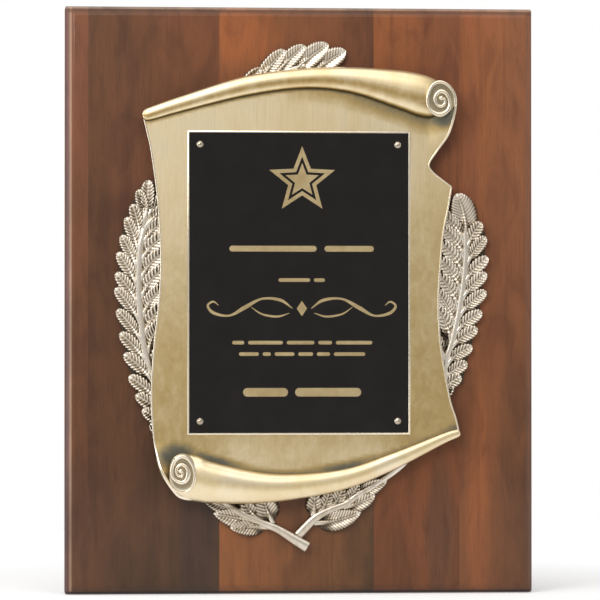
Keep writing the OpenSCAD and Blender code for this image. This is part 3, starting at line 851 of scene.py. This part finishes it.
def leaf(base, tip, heading, width, pitch, stalk=0.3, end=2.9, point=0.4, darken=0.0, cut=1.0,
         fold=1.5, seed=0):
    """Closed leaf on a curved axis: a stalk that runs into a midrib, raised rims and slanting ribs.
    end is the tip's height, point how pointed it is, darken how dark the whole leaf is, cut how
    deep the ribs are and fold how far the rims rise. Returns points, faces and a per point value of
    patina and painted light."""
    rng = random.Random(seed)
    s, axis, side, length = leaf_axis(base, tip, heading)
    n, m = len(s), 19
    t = np.clip((s - stalk) / (1 - stalk), 0, 1)
    blade = t ** 0.6 * (1 - t) ** point
    blade = width / 2 * blade / blade.max()
    stem = (2.2 - 1.5 * s) * ramp(1 - s, 0, 0.06)
    half = np.maximum(np.hypot(blade, stem), 0.12)
    S, V = np.meshgrid(s, np.linspace(-1, 1, m), indexing="ij")
    H, T = half[:, None], t[:, None]
    away = np.abs(V) * H
    pitch *= rng.uniform(0.88, 1.12)
    wobble = 0.12 * np.sin(7 * S + 9 * rng.random()) + 0.1 * V
    ribs = np.cos(2 * math.pi * ((S * length - RIB_SLANT * away) / pitch + wobble + rng.random()))
    grown = ramp(T, 0.04, 0.3)
    off_midrib = 1 - np.exp(-(away / 0.7) ** 2)
    edge = ramp(np.abs(V), 0.8, 1.0)
    scallop = 1 + 0.05 * grown * ribs * ramp(np.abs(V), 0.6, 1)
    flat = axis[:, None] + (V * H * scallop)[..., None] * side[:, None]

    rim = fold * ramp(np.abs(V), 0.05, 0.76) * grown * np.minimum(1, H / (0.5 * width) + 0.2)
    stalk_ridge = STALK_H * (1 - ramp(S, 0.26, 0.66)) + MIDRIB_H
    stalk_ridge *= np.exp(-(away / (2.1 - 1.5 * S)) ** 4)
    height = ROOT_H + (end - ROOT_H) * ramp(S, 0, 1) + rim + stalk_ridge - EDGE_DROP * edge
    height += RIB_H * cut * ribs * grown * off_midrib * (1 - 0.4 * edge)
    height = np.maximum(height, 0.5) - 0.8 * ramp(S, 0.955, 1)

    # Patina in the grooves between the ribs and beside the midrib, patina and painted shade round
    # the edge, and painted shade in the slots beside the stalk and at the base of the blade
    patina = 0.62 * cut * grown * off_midrib * ramp(-ribs, -0.25, 0.7) * (1 - 0.4 * edge)
    patina += 0.45 * grown * np.exp(-((away - 0.75) / 0.4) ** 2)
    patina += ramp(np.abs(V), 0.84, 0.98) * (1 - ramp(S, 0.62, 0.86))
    patina += 0.95 * (1 - grown) * ramp(away, 1.75, 2.3)
    patina += 0.75 * grown * (1 - ramp(T, 0.12, 0.42)) * ramp(away, 1.0, 1.9)
    # The whole leaf darkened by one value, and the tip lightened as a painted highlight
    patina = np.clip(patina + darken - 0.5 * ramp(S, 0.85, 0.98), 0, 1)

    front = upright(flat[..., 0].ravel(), BOARD_FRONT - height.ravel(), flat[..., 1].ravel())
    faces = [(i * m + k, i * m + k + 1, (i + 1) * m + k + 1, (i + 1) * m + k)
             for i in range(n - 1) for k in range(m - 1)]
    start, last = list(range(m)), [(n - 1) * m + k for k in range(m)]
    left, right = [i * m for i in range(1, n - 1)], [i * m + m - 1 for i in range(1, n - 1)]
    border = start + right + last[::-1] + left[::-1]
    foot = front[border]
    foot[:, 1] = BOARD_FRONT - 0.1
    total, count = n * m, len(border)
    faces += [(border[(i + 1) % count], border[i], total + i, total + (i + 1) % count)
              for i in range(count)]
    faces.append(tuple(total + i for i in reversed(range(count))))
    return np.vstack([front, foot]), faces, np.concatenate([patina.ravel(), np.ones(count)])


def on_stem(stem, z):
    """Place and heading of the part of a stem beside the scroll at height z."""
    side = stem[(np.abs(stem[:, 0]) > 60) & (np.abs(stem[:, 1]) < 110)]
    x = np.interp(z, side[:, 1], side[:, 0])
    rise = np.interp(z + 2, side[:, 1], side[:, 0]) - np.interp(z - 2, side[:, 1], side[:, 0])
    return np.array([x, z]), math.degrees(math.atan2(4, rise))


def branch_leaves(name, path, outer, inner, inward, large):
    """All leaves of a branch as one piece."""
    leaves = Parts()
    for i, z in enumerate(inner):
        spot, heading = on_stem(path, z)
        a = math.radians(heading - inward * INNER_LEAN)
        tip = spot + INNER_L * np.array([math.cos(a), math.sin(a)])
        leaves.add(*leaf(spot, tip, heading - inward * INNER_START, INNER_W, 2.3, 0.24, end=3.1,
                         fold=1.2, darken=0.06, cut=0.85, seed=50 + i))
    for i, (z, x_tip, z_tip, width) in enumerate(outer):
        spot, heading = on_stem(path, z)
        leaves.add(*leaf(spot, (x_tip, z_tip), heading + inward * 8, 1.08 * width, 2.1, fold=1.9,
                         darken=0.05, seed=i))
    for i, (base, tip, heading, width) in enumerate(large):
        # The lowest large leaves, below the scroll, are darkened as painted shadow
        darken, point = (0.18, 0.8) if tip[1] < -100 else (0.02, 0.5)
        leaves.add(*leaf(base, tip, heading, 1.2 * width, 2.1, 0.08, point=point, darken=darken, cut=0.75,
                         seed=100 + i))
    leaves.finish(name + "_leaves", pewter, "antique_pewter", [name], sharp=75)


def branch_stem(name, path, thick, inward, screws):
    """Stem of a branch, the thin web beside it and the pads for its screws. thick gives the stem's
    radius at distances from its lower end."""
    stems = Parts()
    step = 1.2
    line = spaced(path, step)
    centre = upright(line[:, 0], BOARD_FRONT - line[:, 2], line[:, 1])
    radius = np.interp(step * np.arange(len(line)), *zip(*thick))
    tone = 0.1 + 0.17 * ramp(-line[:, 1], 105, 125)
    stems.add_rings(tube(centre, radius, STEM_SIDES, STEM_FLAT), np.repeat(tone, STEM_SIDES))
    by_scroll = (np.abs(path[:, 0]) > 60) & (path[:, 1] > -52) & (path[:, 1] < 58)
    web = path[by_scroll][:, :2] + [WEB_SHIFT * inward, 0]
    stems.add_rings(wall(spaced(web, 2), WEB_HALF, WALL_FOOT, BOARD_FRONT - WEB_H), 1.0)
    for screw in screws:
        x, _, z = np.mean(box_mm(screw), axis=0)
        stems.add_rings([ring(x, z, PAD_R, BOARD_FRONT - h, turns(24)) for h in PAD_H], 0.8)
    stems.finish(name + "_stem", pewter, "antique_pewter", [name], sharp=50)


def branch(name, stem, thick, outer, inner, inward, large, screws):
    """One laurel branch. inward is 1 where the inner leaves turn to the right of the stem and -1
    where they turn to the left."""
    path = smooth(stem, 10)
    branch_leaves(name, path, outer, inner, inward, large)
    branch_stem(name, path, thick, inward, screws)


branch("laurel_left", LEFT_STEM,
       [(0, 3.6), (12, 3.1), (22, 2.6), (34, 2.2), (300, 2.2), (480, 1.4)],
       LEFT_OUTER, LEFT_INNER, 1, LEFT_LARGE, ["laurel_screw_1", "laurel_screw_2"])
branch("laurel_right", RIGHT_STEM, [(0, 3.1), (14, 2.8), (26, 2.2), (60, 2.1), (300, 1.9)],
       RIGHT_OUTER, RIGHT_INNER, -1, RIGHT_LARGE, ["laurel_screw_3", "laurel_screw_4"])


# ---- engraving plate
COAT_T = 0.12


def star(cx, cz, outer, inner):
    """Five-pointed star with its first tip up."""
    corners = [(math.pi * (0.5 + i / 5), inner if i % 2 else outer) for i in range(10)]
    return [(cx + r * math.cos(a), cz + r * math.sin(a)) for a, r in corners]


def pill(x0, x1, z0, z1):
    """Bar with round ends."""
    r, zc = (z1 - z0) / 2, (z0 + z1) / 2
    half_turn = np.linspace(-math.pi / 2, math.pi / 2, 9)
    right = [(x1 - r + r * math.cos(a), zc + r * math.sin(a)) for a in half_turn]
    left = [(x0 + r - r * math.cos(a), zc - r * math.sin(a)) for a in half_turn]
    return right + left


def words(x0, x1, z0, z1, shares, gap):
    """A line of bars whose widths follow shares, with gaps between them."""
    room = x1 - x0 - gap * (len(shares) - 1)
    out, x = [], x0
    for share in shares:
        w = room * share / sum(shares)
        out.append(pill(x, x + w, z0, z1))
        x += w + gap
    return out


def swash(points, widths):
    """Closed pen stroke along a smooth line, with its width given at each point."""
    line = smooth([(x, z, w) for (x, z), w in zip(points, widths)], 10)
    side = beside(line[:, :2]) * line[:, 2:] / 2
    return [tuple(p) for p in np.vstack([line[:, :2] + side, (line[:, :2] - side)[::-1]])]


def ornament(cx, cz):
    """A line ornament: a lozenge with a long S-shaped stroke on each side."""
    lozenge = [(cx, cz + 5), (cx + 3.4, cz), (cx, cz - 5), (cx - 3.4, cz)]
    stroke = [(6, 0), (14, 5.4), (26, 6.2), (37, 0.6), (47, -4.6), (57, -3), (61, 1.6), (57.5, 4.4),
              (54, 2)]
    widths = [0.5, 2.0, 1.4, 2.6, 1.4, 2.0, 1.5, 1.2, 0.4]
    inner = [(8, -3), (16, -5.2), (26, -3.6), (33, 1.0)]
    thin = [0.4, 1.4, 1.2, 0.4]
    shapes = [lozenge]
    for sx in (-1, 1):
        shapes.append(swash([(cx + sx * x, cz + z) for x, z in stroke], widths))
        shapes.append(swash([(cx + sx * x, cz + z) for x, z in inner], thin))
    return shapes


def plate_coating():
    """Black enamel over the brass plate, cut away where the plate is engraved."""
    low, high = PLATE_LOW, PLATE_HIGH
    shapes = [[(low[0], low[2]), (high[0], low[2]), (high[0], high[2]), (low[0], high[2])]]
    shapes += [star(0.8, 77.2, *radii) for radii in ((22.5, 9.6), (15.6, 6.7), (11.4, 4.9))]
    shapes += words(-46.5, 47.5, 31.2, 35, [58, 33], 5)
    shapes += words(-14.6, 15.6, 11.6, 14.0, [20, 7], 2.4)
    shapes += ornament(0.6, -5.6)
    shapes += words(-44.6, 46.4, -28.9, -26.5, [7, 20, 16, 8, 21], 2.4)
    shapes += words(-40.2, 41.8, -36.3, -33.9, [12, 5, 12, 9, 8, 19], 2.4)
    shapes += words(-37.6, 39.2, -62.6, -57.0, [34, 50], 4.5)
    curve = bpy.data.curves.new("plate_coating", "CURVE")
    curve.dimensions = "2D"
    curve.fill_mode = "BOTH"
    curve.extrude = COAT_T / 2 * MM
    for shape in shapes:
        line = curve.splines.new("POLY")
        line.points.add(len(shape) - 1)
        for point, (x, z) in zip(line.points, shape):
            point.co = (x * MM, z * MM, 0, 1)
        line.use_cyclic_u = True
    holder = add_object("plate_coating_outline", curve)
    bpy.context.view_layer.update()
    mesh = bpy.data.meshes.new_from_object(holder.evaluated_get(
        bpy.context.evaluated_depsgraph_get()))
    points = np.array([tuple(v.co) for v in mesh.vertices]) / MM
    faces = [tuple(p.vertices) for p in mesh.polygons]
    bpy.data.objects.remove(holder)
    coat = upright(points[:, 0], PLATE_FRONT - COAT_T / 2 - points[:, 2], points[:, 1])
    piece("plate_coating", coat, faces, enamel, "black_coated_brass", sharp=30)


plate_coating()


# ---- finishes of the CAD nodes
def finish_node(node, material, sharp=35):
    """Gives a carried-over CAD node its material and smooth shading."""
    shade(nodes[node].data, material, sharp)


finish_node("engraving_plate", brass)
for i in range(1, 5):
    finish_node(f"plate_pin_{i}", nickel)
    finish_node(f"scroll_screw_{i}", zinc)
    finish_node(f"laurel_screw_{i}", zinc)


# ---- floor, light and camera
# Metres, and the strength of the surroundings on the object
FLOOR_R = 0.8
FLOOR_GAP = 0.0003
WORLD_LIGHT = 0.46


def surroundings():
    """White for the camera, softer light on the object."""
    bpy.context.scene.view_settings.view_transform = "Standard"
    world = bpy.data.worlds.new("studio")
    bpy.context.scene.world = world
    world.use_nodes = True
    tree = world.node_tree
    tree.nodes.clear()
    pick = tree.nodes.new("ShaderNodeMixShader")
    ray = tree.nodes.new("ShaderNodeLightPath")
    out = tree.nodes.new("ShaderNodeOutputWorld")
    tree.links.new(ray.outputs["Is Camera Ray"], pick.inputs[0])
    for i, colour, strength in ((1, (1, 0.98, 0.96, 1), WORLD_LIGHT), (2, (1, 1, 1, 1), 1)):
        light = tree.nodes.new("ShaderNodeBackground")
        light.inputs["Color"].default_value = colour
        light.inputs["Strength"].default_value = strength
        tree.links.new(light.outputs[0], pick.inputs[i])
    tree.links.new(pick.outputs[0], out.inputs[0])


def floor():
    """Pale disc under the plaque that glows faintly near it as painted light and fades to glowing
    white further out.
    """
    rim = [(FLOOR_R * math.cos(a), FLOOR_R * math.sin(a), cad_low.z - FLOOR_GAP)
           for a in turns(128)]
    disc = bpy.data.meshes.new("floor")
    disc.from_pydata(rim, [], [tuple(range(len(rim)))])
    m = Nodes("pale_floor", Roughness=0.8, Specular_IOR_Level=0.1, Emission_Strength=1.0)
    at = m.axes()
    flat = m.new("CombineXYZ", {0: at["X"], 1: at["Y"]})
    reach = m.new("VectorMath", {0: flat.outputs[0]}, operation="LENGTH")
    unevenness = m.scale(m.noise((4, 4, 4), 2), 0, 1, -0.02, 0.02)
    away = m.scale(m.math("ADD", reach.outputs["Value"], unevenness), 0.16, 0.42)
    m.set("Base Color", m.mix(away, (0.9, 0.9, 0.9, 1), (0, 0, 0, 1)))
    # Faint glow near the plaque as painted light, full white glow further out
    m.set("Emission Color", m.mix(away, (0.2, 0.2, 0.2, 1), (1, 1, 1, 1)))
    disc.materials.append(m.material)
    ground = add_object("floor", disc)


def softbox(name, place, target, width, height, power):
    """Rectangular light that faces a point."""
    data = bpy.data.lights.new(name, "AREA")
    data.shape = "RECTANGLE"
    data.size, data.size_y = width, height
    data.energy = power
    lamp = add_object(name, data)
    lamp.location = place
    lamp.rotation_euler = (Vector(target) - Vector(place)).to_track_quat("-Z", "Y").to_euler()


def camera():
    """Long lens, a little to the left of the plaque and level with its middle."""
    yaw, rise, distance, seen_width = math.radians(4.5), math.radians(-0.8), 2.4, 0.3896
    centre = Vector((0, BOARD_FRONT * MM, 0))
    level = math.cos(rise)
    away = Vector((-math.sin(yaw) * level, -math.cos(yaw) * level, math.sin(rise)))
    data = bpy.data.cameras.new("camera")
    data.sensor_width = 36
    data.lens = 36 * distance / seen_width
    data.clip_end = 20
    cam = add_object("camera", data)
    cam.location = centre + away * distance
    cam.rotation_euler = (-away).to_track_quat("-Z", "Y").to_euler()
    bpy.context.scene.camera = cam


# Softboxes: name, place, target, width, height and power
SOFTBOXES = [
    ("key_upper_left", (-0.62, -1.05, 0.66), (0, 0, 0.02), 0.6, 0.6, 7.5),
    ("overhead_front", (0.1, -1.3, 1.02), (0, 0, 0), 2.0, 0.6, 6.2),
    ("top_panel", (0, -0.32, 1.1), (0, 0, 0.05), 1.2, 0.6, 3.4),
    ("left_strip", (-1.3, -0.22, 0.1), (0, 0, 0), 0.6, 1.2, 7),
    ("right_strip", (1.4, -0.22, 0), (0, 0, 0), 0.4, 1.0, 1.6),
]
surroundings()
floor()
for box in SOFTBOXES:
    softbox(*box)
camera()
